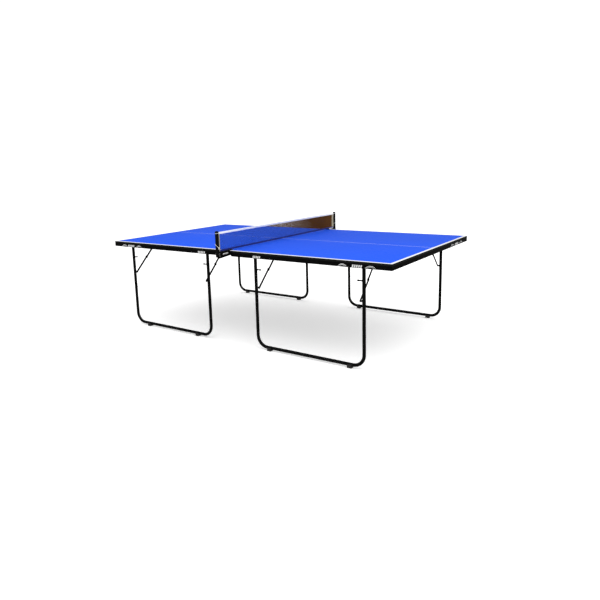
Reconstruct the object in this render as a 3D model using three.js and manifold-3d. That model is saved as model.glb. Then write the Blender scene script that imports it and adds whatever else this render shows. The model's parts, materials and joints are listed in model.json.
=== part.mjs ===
// Folding ping pong table: two half tables on tubular U legs that fold up flat under the
// tops, with a clamped net across the seam. Millimetres, +Z up, floor at z = 0.
// The origin is on the floor under the middle of the table, +X runs along its length.
import * as THREE from "three";
import { mergeVertices } from "three/addons/utils/BufferGeometryUtils.js";
import Module from "manifold-3d";

const wasm = await Module();
wasm.setup();

// ---------------------------------------------------------------- driving dimensions
const gap = 0.3; // room between pieces that touch

// playing surface
const tableLength = 2740;
const tableWidth = 1525;
const tableHeight = 760;
const boardThickness = 16;
const boardSeam = 1; // between the two half boards
const boardCorner = 4; // radius of the outer corners
const boardEase = 0.8; // bevel of the top and bottom arrises

// steel frame under each board
const railDepth = 30;
const railWall = 2;
const railFlange = 22;
const railInset = 1; // behind the board's edge
const seamSetback = 30; // from the seam to the frame, the room the net clamp works in
const strapMargin = [1, 2.4]; // of a cross strap outside the ears and inside the stay's tab

// U legs
const tubeDiameter = 25;
const tubeWall = 1.5;
const tubeSides = 10;
const bendRadius = 85; // to the middle of the tube
const bendSteps = 5;
const legEndInset = 213; // from the table's end to the outer upright
const legSeamInset = 245; // from the seam to the inner upright
const legSideInset = 30.5; // from the table's long side to the hinge
const foldRoom = 1.2; // between the straps and what folds up under them
const tubeEndRelief = 0.5; // the tube's rounded end is this much slimmer than the tube
const railClearance = 11.5; // under the bottom rail

// hinge ears and pivot bolts
const earThickness = 3;
const earRadius = 12;
const boltRadius = 4;
const boltHead = { across: 13, height: 5 };
const nutHeight = 6.5;

// feet under the bottom rails
const footLength = 34;
const footWall = 2.7;
const footSpace = 8; // from the end of the bend
const footSpaceLeftNear = 56; // on the one leg whose feet sit closer together
const footWrap = 4; // above the middle of the rail

// folding stays
const stayReach = 242; // from the hinge to the stay's pin, on the leg and under the board
const stayWidth = 18;
const knuckleRadius = 12.5; // the disc where the two links meet
const stayThickness = 3;
const stayOffset = 27; // from the upright to the lower link
const collarRadius = 7;
const rivetRadius = 6.5;
const rivetHeight = 4;

// pegs that hold the folded leg, and the one rest for a folded stay
const pegDrop = 103; // below the hinge
const pegRadius = 4;
const pegReach = 50; // from the upright's middle to the tip
const pegCap = { radius: 5.5, length: 14 };
const stubPlace = 136; // below the stay's pin
const stubRadius = 3;
const stubReach = 25;

// alignment dowels between the frames
const dowelRadius = 5;
const dowelSpacing = 1000;

// net set
const netHeight = 152.5;
const netOverhang = 115; // from the table's side to the post's middle
const netClearance = 4.5; // under the net
const netThickness = 2;
const tapeHeight = 15;
const tapeThickness = 6;
const postRadius = 14;
const postTop = 10; // above the net
const postFoot = 38; // below the playing surface
const clampWidth = 44;
const clampPlate = 4;
const clampReach = 40; // of the upper jaw over the board
const jawPlate = 3.5;
const lowerJawReach = 50;
const armTopDrop = 3;
const armEndDrop = 46;
const armPlate = 4;
const screwInset = 32; // from the table's side
const screwRadius = 4;
const screwWheel = { radius: 12, height: 5 };
const screwTravel = 3;
const wheelStandOff = 1.5; // above the lower jaw at the end of the travel
const wheelRoom = 5; // between the wheel and the pad
const padRadius = 10;
const padHeight = 3.7;
const postBolt = { radius: 3, across: 10, height: 4, spacing: 16, top: 11 };
const cordDiameter = 3;
const cordHeight = 48; // tie cord's middle above the playing surface

// ---------------------------------------------------------------- derived places
const halfLength = tableLength / 2;
const halfWidth = tableWidth / 2;
const boardUnder = tableHeight - boardThickness;
const frameTop = boardUnder - gap;
const frameBottom = boardUnder - railDepth;
const strapUnder = frameTop - railWall;
const tubeRadius = tubeDiameter / 2;
const hingeHeight = strapUnder - foldRoom - Math.max(tubeRadius, knuckleRadius);
const hingeSide = halfWidth - legSideInset;
const uprightOuter = halfLength - legEndInset;
const uprightInner = legSeamInset;
const legMiddle = (uprightOuter + uprightInner) / 2;
const legHalfSpan = (uprightOuter - uprightInner) / 2;
const bottomRail = hingeHeight - railClearance - tubeRadius; // below the hinge
const earInside = tubeRadius + 0.5;
const earOutside = earInside + earThickness;
const linkLength = stayReach / Math.SQRT2;
const upperOffset = stayOffset + stayThickness + gap;
const tabOffset = upperOffset + stayThickness + gap;
const strapOuter = earOutside + strapMargin[0]; // from the upright's middle
const strapInner = tabOffset + stayThickness + strapMargin[1];
const footInset = bendRadius + footLength / 2; // from the upright, without the space
const stubDrop = stayReach + stubPlace;
const postPlace = halfWidth + netOverhang;
const dowelHeight = (frameBottom + frameTop) / 2;

// ---------------------------------------------------------------- solids
// A closed geometry as a solid for joining and cutting, with its faces turned outwards.
function solid(geometry) {
  const plain = geometry.clone();
  plain.deleteAttribute("normal");
  plain.deleteAttribute("uv");
  const merged = mergeVertices(plain, 1e-4);
  const made = (triVerts) =>
    new wasm.Manifold(
      new wasm.Mesh({
        numProp: 3,
        vertProperties: merged.attributes.position.array,
        triVerts,
      }),
    );
  const triVerts = new Uint32Array(merged.index.array);
  const first = made(triVerts);
  return first.volume() > 0 ? first : made(triVerts.reverse());
}

const join = (...parts) => parts.flat().reduce((all, part) => all.add(part));
const cut = (body, ...tools) => tools.flat().reduce((all, tool) => all.subtract(tool), body);

// A solid back as a geometry that a mesh can show.
function geometryOf(body) {
  const { vertProperties, triVerts } = body.simplify(1e-3).getMesh();
  const geometry = new THREE.BufferGeometry();
  geometry.setAttribute("position", new THREE.BufferAttribute(vertProperties, 3));
  geometry.setIndex(new THREE.BufferAttribute(triVerts, 1));
  const faceted = geometry.toNonIndexed();
  faceted.computeVertexNormals();
  return faceted;
}

function block([x0, x1], [y0, y1], [z0, z1]) {
  const box = new THREE.BoxGeometry(x1 - x0, y1 - y0, z1 - z0);
  return solid(box.translate((x0 + x1) / 2, (y0 + y1) / 2, (z0 + z1) / 2));
}

// A round bar, or with few sides a hexagon, along x or z.
function barX(radius, [x0, x1], y = 0, z = 0, sides = 12) {
  const bar = new THREE.CylinderGeometry(radius, radius, x1 - x0, sides);
  return solid(bar.rotateZ(Math.PI / 2).translate((x0 + x1) / 2, y, z));
}

function barZ(radius, [z0, z1], x = 0, y = 0, sides = 12) {
  const bar = new THREE.CylinderGeometry(radius, radius, z1 - z0, sides);
  return solid(bar.rotateX(Math.PI / 2).translate(x, y, (z0 + z1) / 2));
}

// A hexagon head or nut along x, by its size across the flats.
const hexX = (across, span, y, z) => barX(across / Math.sqrt(3), span, y, z, 6);

// A plate with an outline in y and z, between two planes of x.
function plateX(outline, [x0, x1]) {
  const sheet = new THREE.ExtrudeGeometry(outline, {
    depth: x1 - x0,
    bevelEnabled: false,
    curveSegments: 4,
  });
  const turn = new THREE.Matrix4().makeBasis(
    new THREE.Vector3(0, 1, 0),
    new THREE.Vector3(0, 0, 1),
    new THREE.Vector3(1, 0, 0),
  );
  return solid(sheet.applyMatrix4(turn).translate(x0, 0, 0));
}

const circlePoints = (radius, sides) =>
  Array.from({ length: sides }, (_, i) => {
    const angle = (2 * Math.PI * i) / sides;
    return new THREE.Vector2(radius * Math.cos(angle), radius * Math.sin(angle));
  });

// ---------------------------------------------------------------- the scene graph
const table = new THREE.Group();
table.name = "ping_pong_table";

const finishes = {
  top: { color: 0x2b5be6, roughness: 0.45, metalness: 0 },
  steel: { color: 0x16171a, roughness: 0.45, metalness: 0.3 },
  zinc: { color: 0x9a9da2, roughness: 0.35, metalness: 0.9 },
  rubber: { color: 0x1b1b1c, roughness: 0.85, metalness: 0 },
  plastic: { color: 0x121315, roughness: 0.5, metalness: 0 },
  mesh: { color: 0x232a46, roughness: 0.9, metalness: 0 },
  tape: { color: 0xf2f2ee, roughness: 0.9, metalness: 0 },
};

function add(group, name, body, finish) {
  const mesh = new THREE.Mesh(geometryOf(body), new THREE.MeshStandardMaterial(finishes[finish]));
  mesh.name = name;
  group.add(mesh);
  return mesh;
}

// ---------------------------------------------------------------- half table: board and frame
// A half table is drawn on the -X side. The other half is the same, turned half way round.
function board() {
  const x0 = -halfLength + boardEase;
  const x1 = -boardSeam / 2 - boardEase;
  const y = halfWidth - boardEase;
  const r = boardCorner;
  const outline = new THREE.Shape();
  outline.moveTo(x1, -y);
  outline.lineTo(x1, y);
  outline.lineTo(x0 + r, y);
  outline.absarc(x0 + r, y - r, r, Math.PI / 2, Math.PI, false);
  outline.absarc(x0 + r, -y + r, r, Math.PI, 1.5 * Math.PI, false);
  const sheet = new THREE.ExtrudeGeometry(outline, {
    depth: boardThickness - 2 * boardEase,
    bevelThickness: boardEase,
    bevelSize: boardEase,
    bevelSegments: 1,
    curveSegments: 4,
  });
  return solid(sheet.translate(0, 0, boardUnder + boardEase));
}

const frameEnd = -halfLength + railInset;
const frameSide = halfWidth - railInset;

// A closed band around the half table, of the given width inside its outer face.
function band(width, [z0, z1]) {
  const outside = block([frameEnd, -seamSetback], [-frameSide, frameSide], [z0, z1]);
  const inside = block(
    [frameEnd + width, -seamSetback - width],
    [-frameSide + width, frameSide - width],
    [z0 - 1, z1 + 1],
  );
  return cut(outside, inside);
}

// The plate that a leg or stay turns on: round below, square where it joins the strap.
function ear(y, radius, span) {
  const outline = new THREE.Shape();
  outline.moveTo(y - radius, frameTop);
  outline.lineTo(y - radius, hingeHeight);
  outline.absarc(y, hingeHeight, radius, Math.PI, 2 * Math.PI, false);
  outline.lineTo(y + radius, frameTop);
  return plateX(outline, span);
}

// Distances from an upright towards the inside of its U, as a span along x.
function span(upright, inward, a, b) {
  return [upright + inward * a, upright + inward * b].sort((p, q) => p - q);
}

function frame() {
  const parts = [band(railWall, [frameBottom, frameTop]), band(railFlange, [strapUnder, frameTop])];
  const reach = frameSide - railWall / 2;
  const holes = [];
  for (const [upright, inward] of [[-uprightOuter, 1], [-uprightInner, -1]]) {
    const strap = span(upright, inward, -strapOuter, strapInner);
    parts.push(block(strap, [-reach, reach], [strapUnder, frameTop]));
    for (const side of [-1, 1]) {
      const hinge = side * hingeSide;
      parts.push(ear(hinge, earRadius, span(upright, inward, -earOutside, -earInside)));
      parts.push(ear(hinge, earRadius, span(upright, inward, earInside, earOutside)));
      const through = span(upright, inward, -earOutside - 1, earOutside + 1);
      holes.push(barX(boltRadius + gap, through, hinge, hingeHeight));
      const stay = side * (hingeSide - stayReach);
      parts.push(ear(stay, stayWidth / 2, span(upright, inward, tabOffset, tabOffset + stayThickness)));
      const pin = span(upright, inward, upperOffset, tabOffset + stayThickness / 2);
      parts.push(barX(boltRadius, pin, stay, hingeHeight));
    }
  }
  const seamWall = [-seamSetback - 2 * railWall, -seamSetback + 1];
  for (const y of [-dowelSpacing / 2, dowelSpacing / 2]) {
    holes.push(barX(dowelRadius + gap, seamWall, y, dowelHeight));
  }
  return cut(join(parts), holes);
}

// ---------------------------------------------------------------- legs, in the hinge's frame
// The hinge lies along x through the origin, y points to the inside of the table and the
// U hangs below. The same leg serves all four places.

// A route made of stations, each a point and a direction, so bends get their own steps.
class Route extends THREE.Curve {
  constructor(stations) {
    super();
    this.stations = stations;
  }
  at(u) {
    return this.stations[Math.round(u * (this.stations.length - 1))];
  }
  getPointAt(u) {
    return this.at(u).point.clone();
  }
  getTangentAt(u) {
    return this.at(u).along.clone();
  }
}

const vector = (x, y, z) => new THREE.Vector3(x, y, z);

function legRoute(top) {
  const stations = [{ point: vector(-legHalfSpan, 0, top), along: vector(0, 0, -1) }];
  const bend = (centreX, from) => {
    for (let i = 0; i <= bendSteps; i++) {
      const angle = from + (Math.PI / 2) * (i / bendSteps);
      const c = Math.cos(angle);
      const s = Math.sin(angle);
      const point = vector(centreX + bendRadius * c, 0, -bottomRail + bendRadius + bendRadius * s);
      stations.push({ point, along: vector(-s, 0, c) });
    }
  };
  bend(-legHalfSpan + bendRadius, Math.PI);
  bend(legHalfSpan - bendRadius, 1.5 * Math.PI);
  stations.push({ point: vector(legHalfSpan, 0, top), along: vector(0, 0, 1) });
  return new Route(stations);
}

// The peg with its cap: a turned profile along x.
function peg(inward) {
  const { radius, length } = pegCap;
  const capStart = pegReach - length;
  const profile = [
    [0, tubeRadius - tubeWall / 2],
    [pegRadius, tubeRadius - tubeWall / 2],
    [pegRadius, capStart],
    [radius * 0.85, capStart],
    [radius, capStart + length / 2],
    [radius * 0.8, pegReach - 1],
    [0, pegReach],
  ].map(([r, x]) => new THREE.Vector2(r, x));
  return solid(new THREE.LatheGeometry(profile, 8).rotateZ(-inward * (Math.PI / 2)));
}

function leg() {
  const ring = new THREE.Shape(circlePoints(tubeRadius, tubeSides));
  ring.holes.push(new THREE.Path(circlePoints(tubeRadius - tubeWall, tubeSides)));
  const route = legRoute(tubeRadius + 1);
  const tube = solid(
    new THREE.ExtrudeGeometry(ring, {
      steps: route.stations.length - 1,
      extrudePath: route,
      bevelEnabled: false,
    }),
  );
  const additions = [];
  const cuts = [];
  for (const side of [-1, 1]) {
    const x = side * legHalfSpan;
    const inward = -side;
    const r = tubeRadius + 2;
    const endBlock = block([x - r, x + r], [-r, r], [0, r]);
    cuts.push(cut(endBlock, barX(tubeRadius - tubeEndRelief, [x - r - 1, x + r + 1], 0, 0)));
    cuts.push(barX(boltRadius + gap, [x - r, x + r]));
    const wall = tubeRadius - tubeWall / 2;
    additions.push(barX(collarRadius, span(x, inward, wall, stayOffset - gap), 0, -stayReach));
    const pin = span(x, inward, wall, stayOffset + stayThickness);
    additions.push(barX(boltRadius, pin, 0, -stayReach));
    additions.push(peg(inward).translate([x, 0, -pegDrop]));
  }
  return join(cut(tube, cuts), additions);
}

// Snap-on rubber foot under the bottom rail.
function foot() {
  const half = tubeRadius + gap + footWall;
  const upTo = -bottomRail + footWrap;
  const pad = block([-footLength / 2, footLength / 2], [-half, half], [-hingeHeight, upTo]);
  const seat = barX(tubeRadius + gap, [-footLength / 2 - 1, footLength / 2 + 1], 0, -bottomRail, 20);
  return cut(pad, seat);
}

// Bolt through both ears and the tube, with its nut on the inner side.
function pivotBolt(inward) {
  const face = earOutside + gap;
  return join(
    barX(boltRadius, span(0, inward, -face - 1, face + 1)),
    hexX(boltHead.across, span(0, inward, -face - boltHead.height, -face)),
    hexX(boltHead.across, span(0, inward, face, face + nutHeight)),
  );
}

// One half of a stay, along +y from its pin at the origin to the knuckle. The plate lies
// between two planes of x and ends in a disc, and the rivet stands on its outer face.
function stayLink(plane, rivetSide) {
  const r = stayWidth / 2;
  const outline = new THREE.Shape();
  outline.absarc(0, 0, r, Math.PI / 2, 1.5 * Math.PI, false);
  outline.absarc(linkLength, 0, r, -Math.PI / 2, Math.PI / 2, false);
  outline.holes.push(new THREE.Path(circlePoints(boltRadius + gap, 12)));
  const knuckle = barX(knuckleRadius, plane, linkLength, 0, 20);
  const rivet = rivetSide > 0
    ? [plane[1] - 1, plane[1] + rivetHeight]
    : [plane[0] - rivetHeight, plane[0] + 1];
  return join(plateX(outline, plane), knuckle, barX(rivetRadius, rivet, linkLength, 0, 12));
}

function addStay(group, name, side) {
  const x = side * legHalfSpan;
  const inward = -side;
  const lower = span(x, inward, stayOffset, stayOffset + stayThickness);
  const lowerLink = add(group, `${name}_lower_stay`, stayLink(lower, -inward), "steel");
  lowerLink.rotation.x = THREE.MathUtils.degToRad(45);
  lowerLink.position.z = -stayReach;
  const upper = span(x, inward, upperOffset, upperOffset + stayThickness);
  const upperLink = add(group, `${name}_upper_stay`, stayLink(upper, inward), "steel");
  upperLink.rotation.x = THREE.MathUtils.degToRad(225);
  upperLink.position.y = stayReach;
}

function addLeg(half, row) {
  const group = new THREE.Group();
  const name = `${half}_${row}`;
  const near = row === "near";
  const middle = half === "left" ? -legMiddle : legMiddle;
  group.position.set(middle, near ? -hingeSide : hingeSide, hingeHeight);
  group.rotation.z = near ? 0 : Math.PI;
  add(group, `${name}_leg`, leg(), "steel");
  if (name === "left_near") {
    const reach = span(-legHalfSpan, 1, tubeRadius + gap, stubReach);
    add(group, `${name}_rest_stub`, barX(stubRadius, reach, 0, -stubDrop), "steel");
  }
  const inset = footInset + (name === "left_near" ? footSpaceLeftNear : footSpace);
  for (const side of [-1, 1]) {
    // the upright nearer the end of the table is the outer one
    const outer = ((half === "left") === (side === -1)) === near;
    const place = `${name}_${outer ? "outer" : "inner"}`;
    add(group, `${place}_pivot_bolt`, pivotBolt(-side), "zinc").position.x = side * legHalfSpan;
    add(group, `${place}_foot`, foot(), "rubber").position.x = side * (legHalfSpan - inset);
    addStay(group, place, side);
  }
  table.add(group);
}

// ---------------------------------------------------------------- net set
const netReach = postPlace - postRadius - cordDiameter - 2 * gap;
const netBand = (x, z) => block([-x / 2, x / 2], [-netReach, netReach], z);

const postBoltHeights = [0, 1].map((i) => tableHeight - postBolt.top - i * postBolt.spacing);
const postBoltHoles = (span) =>
  postBoltHeights.map((z) => barX(postBolt.radius + gap, span, -postPlace, z));

// The near side's pieces; the far side's are the same, turned half way round.
function netPost() {
  const top = tableHeight + netHeight + postTop;
  const foot = tableHeight - postFoot;
  const dome = postRadius / 2;
  const profile = [
    [0, foot],
    [postRadius, foot],
    [postRadius, top - dome],
    [postRadius * 0.8, top - dome * 0.35],
    [postRadius * 0.4, top - dome * 0.05],
    [0, top],
  ].map(([r, z]) => new THREE.Vector2(r, z));
  const post = solid(new THREE.LatheGeometry(profile, 16).rotateX(Math.PI / 2));
  return cut(post.translate([0, -postPlace, 0]), postBoltHoles([-postRadius - 1, postRadius + 1]));
}

const jawTop = tableHeight + gap + jawPlate;
const padUnder = boardUnder - gap - padHeight;
const wheelUnder = padUnder - wheelRoom - screwWheel.height;
const lowerJaw = wheelUnder - wheelStandOff - screwTravel - jawPlate;
const clampFace = halfWidth + gap;
const screwPlace = halfWidth - screwInset;
const armFace = postRadius + gap;

function netClamp() {
  const half = clampWidth / 2;
  const back = clampFace + clampPlate;
  const outline = new THREE.Shape();
  outline.moveTo(-clampFace - clampPlate / 2, lowerJaw);
  outline.lineTo(-clampFace - clampPlate / 2, tableHeight - armTopDrop);
  outline.lineTo(-postPlace - postRadius, tableHeight - armTopDrop);
  outline.lineTo(-postPlace - postRadius, tableHeight - armEndDrop);
  outline.lineTo(-postPlace + postRadius, tableHeight - armEndDrop);
  const body = join(
    block([-half, half], [-back, -clampFace], [lowerJaw, jawTop]),
    block([-half, half], [-back, -halfWidth + clampReach], [tableHeight + gap, jawTop]),
    block([-half, half], [-back, -halfWidth + lowerJawReach], [lowerJaw, lowerJaw + jawPlate]),
    plateX(outline, [armFace, armFace + armPlate]),
  );
  const throughJaw = [lowerJaw - 1, lowerJaw + jawPlate + 1];
  const screwHole = barZ(screwRadius + gap, throughJaw, 0, -screwPlace);
  return cut(body, postBoltHoles([armFace - 1, armFace + armPlate + 1]), screwHole);
}

function netPostBolt(z) {
  const { radius, across, height } = postBolt;
  const head = armFace + armPlate + gap;
  const nut = -postRadius - gap;
  return join(
    barX(radius, [nut - 1, head + 1], -postPlace, z, 12),
    hexX(across, [head, head + height], -postPlace, z),
    hexX(across, [nut - height, nut], -postPlace, z),
  );
}

function clampScrew() {
  const foot = lowerJaw - screwTravel;
  return join(
    barZ(screwRadius, [foot, padUnder - gap], 0, -screwPlace),
    barZ(screwWheel.radius, [wheelUnder, wheelUnder + screwWheel.height], 0, -screwPlace, 20),
  );
}

const clampPad = () => barZ(padRadius, [padUnder, padUnder + padHeight], 0, -screwPlace, 20);

// Loop of cord around the post, tied off towards the net.
function tieCord() {
  const r = cordDiameter / 2;
  const loop = new THREE.TorusGeometry(postRadius + gap + r, r, 6, 16);
  return solid(loop).translate([0, -postPlace, tableHeight + cordHeight]);
}

// ---------------------------------------------------------------- assembly
for (const [half, turn] of [["left", 0], ["right", Math.PI]]) {
  const group = new THREE.Group();
  group.rotation.z = turn;
  add(group, `${half}_board`, board(), "top");
  add(group, `${half}_frame`, frame(), "steel");
  table.add(group);
  for (const row of ["near", "far"]) addLeg(half, row);
}

const dowelReach = seamSetback + 8;
for (const [row, side] of [["near", -1], ["far", 1]]) {
  const y = side * (dowelSpacing / 2);
  const dowel = join(
    barX(dowelRadius, [-dowelReach, dowelReach], y, dowelHeight),
    barX(dowelRadius + 4, [-seamSetback + gap, -seamSetback + 5], y, dowelHeight),
  );
  add(table, `${row}_dowel`, dowel, "zinc");
}

const tapeFoot = tableHeight + netHeight - tapeHeight;
add(table, "net_mesh", netBand(netThickness, [tableHeight + netClearance, tapeFoot - gap]), "mesh");
add(table, "net_top_tape", netBand(tapeThickness, [tapeFoot, tableHeight + netHeight]), "tape");

for (const [row, turn] of [["near", 0], ["far", Math.PI]]) {
  const group = new THREE.Group();
  group.rotation.z = turn;
  add(group, `${row}_net_post`, netPost(), "plastic");
  add(group, `${row}_net_clamp`, netClamp(), "steel");
  add(group, `${row}_clamp_screw`, clampScrew(), "plastic");
  add(group, `${row}_clamp_pad`, clampPad(), "rubber");
  add(group, `${row}_tie_cord`, tieCord(), "tape");
  postBoltHeights.forEach((z, i) => {
    add(group, `${row}_post_bolt_${i === 0 ? "upper" : "lower"}`, netPostBolt(z), "zinc");
  });
  table.add(group);
}

export default table;
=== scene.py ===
"""Folding ping pong table: the visible pieces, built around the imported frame."""

import json
import math

import bmesh
import bpy
from mathutils import Matrix, Vector


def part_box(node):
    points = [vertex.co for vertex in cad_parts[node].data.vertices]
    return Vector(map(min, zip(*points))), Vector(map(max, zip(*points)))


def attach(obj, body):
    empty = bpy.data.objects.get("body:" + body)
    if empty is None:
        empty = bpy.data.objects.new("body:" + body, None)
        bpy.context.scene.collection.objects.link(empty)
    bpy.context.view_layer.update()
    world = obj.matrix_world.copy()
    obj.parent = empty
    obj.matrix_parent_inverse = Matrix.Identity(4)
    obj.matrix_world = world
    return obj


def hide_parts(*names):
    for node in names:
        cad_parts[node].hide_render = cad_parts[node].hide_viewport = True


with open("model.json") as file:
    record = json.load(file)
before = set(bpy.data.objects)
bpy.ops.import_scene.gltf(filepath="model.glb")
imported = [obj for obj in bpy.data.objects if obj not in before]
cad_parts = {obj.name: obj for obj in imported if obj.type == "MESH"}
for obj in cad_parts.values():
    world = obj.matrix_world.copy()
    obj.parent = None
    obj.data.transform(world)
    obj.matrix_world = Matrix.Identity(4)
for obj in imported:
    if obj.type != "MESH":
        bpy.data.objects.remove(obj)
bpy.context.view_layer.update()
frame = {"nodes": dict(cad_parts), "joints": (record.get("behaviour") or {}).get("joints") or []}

scene = bpy.context.scene

# ---------------------------------------------------------------- places read from the frame
HALVES = ("left", "right")
ROWS = ("near", "far")
PLACES = ("outer", "inner")
AXIS_TO_X = Matrix.Rotation(math.pi / 2, 4, "Y")
HALF_TURN = Matrix.Rotation(math.pi, 4, "Z")

pivots = {j["name"]: Vector(j["pos_m"]) for j in frame["joints"] if "pos_m" in j}


def middle(node):
    low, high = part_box(node)
    return (low + high) / 2


board_low, board_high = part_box("right_board")
frame_low, frame_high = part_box("right_frame")
half_length = board_high.x
half_width = board_high.y
table_top = board_high.z
board_under = board_low.z
seam_edge = board_low.x
rail_face = frame_high.y
rail_end = frame_high.x
hinge_height = pivots["left_near_leg_fold"].z
hinge_side = abs(pivots["left_near_leg_fold"].y)

TUBE = 0.0125  # radius of the leg tube


def upright_of(stem):
    """The x of the upright at a place such as left_near_outer."""
    half, row, place = stem.split("_")
    low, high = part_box(f"{half}_{row}_leg")
    if (place == "outer") == (half == "left"):
        return low.x + TUBE
    return high.x - TUBE


UPRIGHTS = [upright_of(f"right_near_{place}") for place in PLACES]

# ---------------------------------------------------------------- camera
EYE = Vector((2.786, -3.919, 1.384))
YAW = 0.6268
PITCH = 0.1799
ROLL = -0.0305
LENS = 32.797
SHIFT = (0.0326, -0.0562)


def add_camera():
    data = bpy.data.cameras.new("camera")
    data.sensor_width = 36
    data.lens = LENS
    data.shift_x, data.shift_y = SHIFT
    data.clip_start = 0.05
    camera = bpy.data.objects.new("camera", data)
    scene.collection.objects.link(camera)
    upright = Matrix.Rotation(YAW, 4, "Z") @ Matrix.Rotation(math.pi / 2 - PITCH, 4, "X")
    camera.matrix_world = Matrix.Translation(EYE) @ upright @ Matrix.Rotation(ROLL, 4, "Z")
    scene.camera = camera


add_camera()


# ---------------------------------------------------------------- shader maths
class Wire:
    """A node's output that sums can be written with."""

    def __init__(self, paint, socket):
        self.paint = paint
        self.socket = socket

    def maths(self, operation, *values):
        return self.paint.node("ShaderNodeMath", {"operation": operation}, dict(enumerate(values)))

    def __add__(self, other):
        return self.maths("ADD", self, other)

    def __sub__(self, other):
        return self.maths("SUBTRACT", self, other)

    def __rsub__(self, other):
        return self.maths("SUBTRACT", other, self)

    def __mul__(self, other):
        return self.maths("MULTIPLY", self, other)

    def __abs__(self):
        return self.maths("ABSOLUTE", self)

    __radd__ = __add__
    __rmul__ = __mul__

    def sine(self):
        return self.maths("SINE", self)

    def larger(self, other):
        return self.maths("MAXIMUM", self, other)

    def rises(self, start, end):
        """0 below start and 1 above end, with a soft step between them."""
        ends = {"Value": self, "From Min": start, "From Max": end}
        return self.paint.node("ShaderNodeMapRange", {"interpolation_type": "SMOOTHSTEP"}, ends)

    def falls(self, start, end):
        return 1 - self.rises(start, end)


class Paint:
    """A material, and the one place where its nodes are made."""

    def __init__(self, name):
        self.material = bpy.data.materials.new(name)
        self.material.use_nodes = True
        self.tree = self.material.node_tree
        self.tree.nodes.clear()
        coordinates = self.tree.nodes.new("ShaderNodeTexCoord")
        self.place = Wire(self, coordinates.outputs["Object"])

    def node(self, kind, settings=None, inputs=None, output=0):
        made = self.tree.nodes.new(kind)
        for key, value in (settings or {}).items():
            setattr(made, key, value)
        for key, value in (inputs or {}).items():
            if isinstance(value, Wire):
                self.tree.links.new(value.socket, made.inputs[key])
            else:
                made.inputs[key].default_value = value
        return Wire(self, made.outputs[output]) if made.outputs else None

    def axes(self):
        """The place on the piece as its x, y and z."""
        return [self.node("ShaderNodeSeparateXYZ", {}, {0: self.place}, i) for i in range(3)]

    def stretched(self, scale):
        return self.node("ShaderNodeMapping", {}, {"Vector": self.place, "Scale": scale})

    def noise(self, scale, detail=2, place=None, roughness=0.5):
        inputs = {"Vector": place or self.place, "Scale": scale, "Detail": detail, "Roughness": roughness}
        return self.node("ShaderNodeTexNoise", {}, inputs)

    def blend(self, factor, first, second):
        """The first colour where the factor is 0, the second where it is 1."""
        colours = {0: factor, 6: first, 7: second}
        return self.node("ShaderNodeMix", {"data_type": "RGBA"}, colours, 2)

    def bump(self, height, distance, strength=1.0):
        inputs = {"Height": height, "Distance": distance, "Strength": strength}
        return self.node("ShaderNodeBump", {}, inputs)

    def surface(self, **sockets):
        """Closes the material. Socket names are written with _ for a space."""
        inputs = {key.replace("_", " "): value for key, value in sockets.items()}
        shader = self.node("ShaderNodeBsdfPrincipled", {}, inputs)
        self.node("ShaderNodeOutputMaterial", {}, {"Surface": shader})
        return self


def grey(level):
    return (level, level, level, 1)


# ---------------------------------------------------------------- finishes
LINE = 0.020  # side and end lines
CENTRE_LINE = 0.003
EDGE = 0.0006  # softness of a painted edge


def table_lacquer():
    paint = Paint("table_lacquer")
    x, y, z = paint.axes()
    side = abs(y).rises(half_width - LINE - EDGE, half_width - LINE)
    end = abs(x).rises(half_length - LINE - EDGE, half_length - LINE)
    centre = abs(y).falls(CENTRE_LINE / 2, CENTRE_LINE / 2 + EDGE)
    lines = side.larger(end).larger(centre)
    cloudy = paint.noise(3.5, 4)
    blue = paint.blend(cloudy, (0.004, 0.092, 0.86, 1), (0.009, 0.108, 0.92, 1))
    smears = paint.noise(60, 5, paint.stretched((1, 0.12, 1)))
    white = paint.blend(smears, (0.80, 0.82, 0.84, 1), (0.88, 0.89, 0.90, 1))
    playing = paint.blend(lines, blue, white)
    band = paint.blend(paint.noise(180, 3), grey(0.003), grey(0.008))
    on_top = z.rises(table_top - 0.0009, table_top - 0.0005)
    scuffs = paint.noise(22, 6, paint.stretched((1, 4, 1))).rises(0.56, 0.72)
    roller = paint.noise(900, 2)
    return paint.surface(
        Base_Color=paint.blend(on_top, band, playing),
        Roughness=0.46 + scuffs * 0.12 + roller * 0.05,
        Specular_IOR_Level=0.16,
        Normal=paint.bump(roller + scuffs * 0.4, 0.00006),
    )


def powder_coat(name, dark, light, roughness, peel_scale):
    """Black powder coat with its orange peel, a little dust and dull patches."""
    paint = Paint(name)
    peel = paint.noise(peel_scale, 2)
    patches = paint.noise(14, 5)
    dust = paint.noise(70, 4).rises(0.52, 0.78)
    return paint.surface(
        Base_Color=paint.blend(dust, grey(dark), grey(light)),
        Roughness=roughness + patches * 0.14 + dust * 0.1,
        Specular_IOR_Level=0.08,
        Normal=paint.bump(peel + dust * 0.2, 0.00012, 0.8),
    )


def leg_coat():
    """The same coat on the tubes, scuffed where the rails meet shoes and floor."""
    paint = Paint("leg_coat")
    z = paint.axes()[2]
    peel = paint.noise(520, 2)
    drawn = paint.noise(240, 3, paint.stretched((1, 1, 0.06)))
    chips = paint.noise(130, 6).rises(0.60, 0.66)
    low = z.falls(0.03, 0.11)
    worn = chips * low
    return paint.surface(
        Base_Color=paint.blend(worn, paint.blend(drawn, grey(0.0015), grey(0.004)), grey(0.04)),
        Roughness=0.36 + drawn * 0.12 + worn * 0.2,
        Specular_IOR_Level=0.08,
        Normal=paint.bump(peel - worn * 2.0, 0.00010, 0.7),
    )


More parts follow.
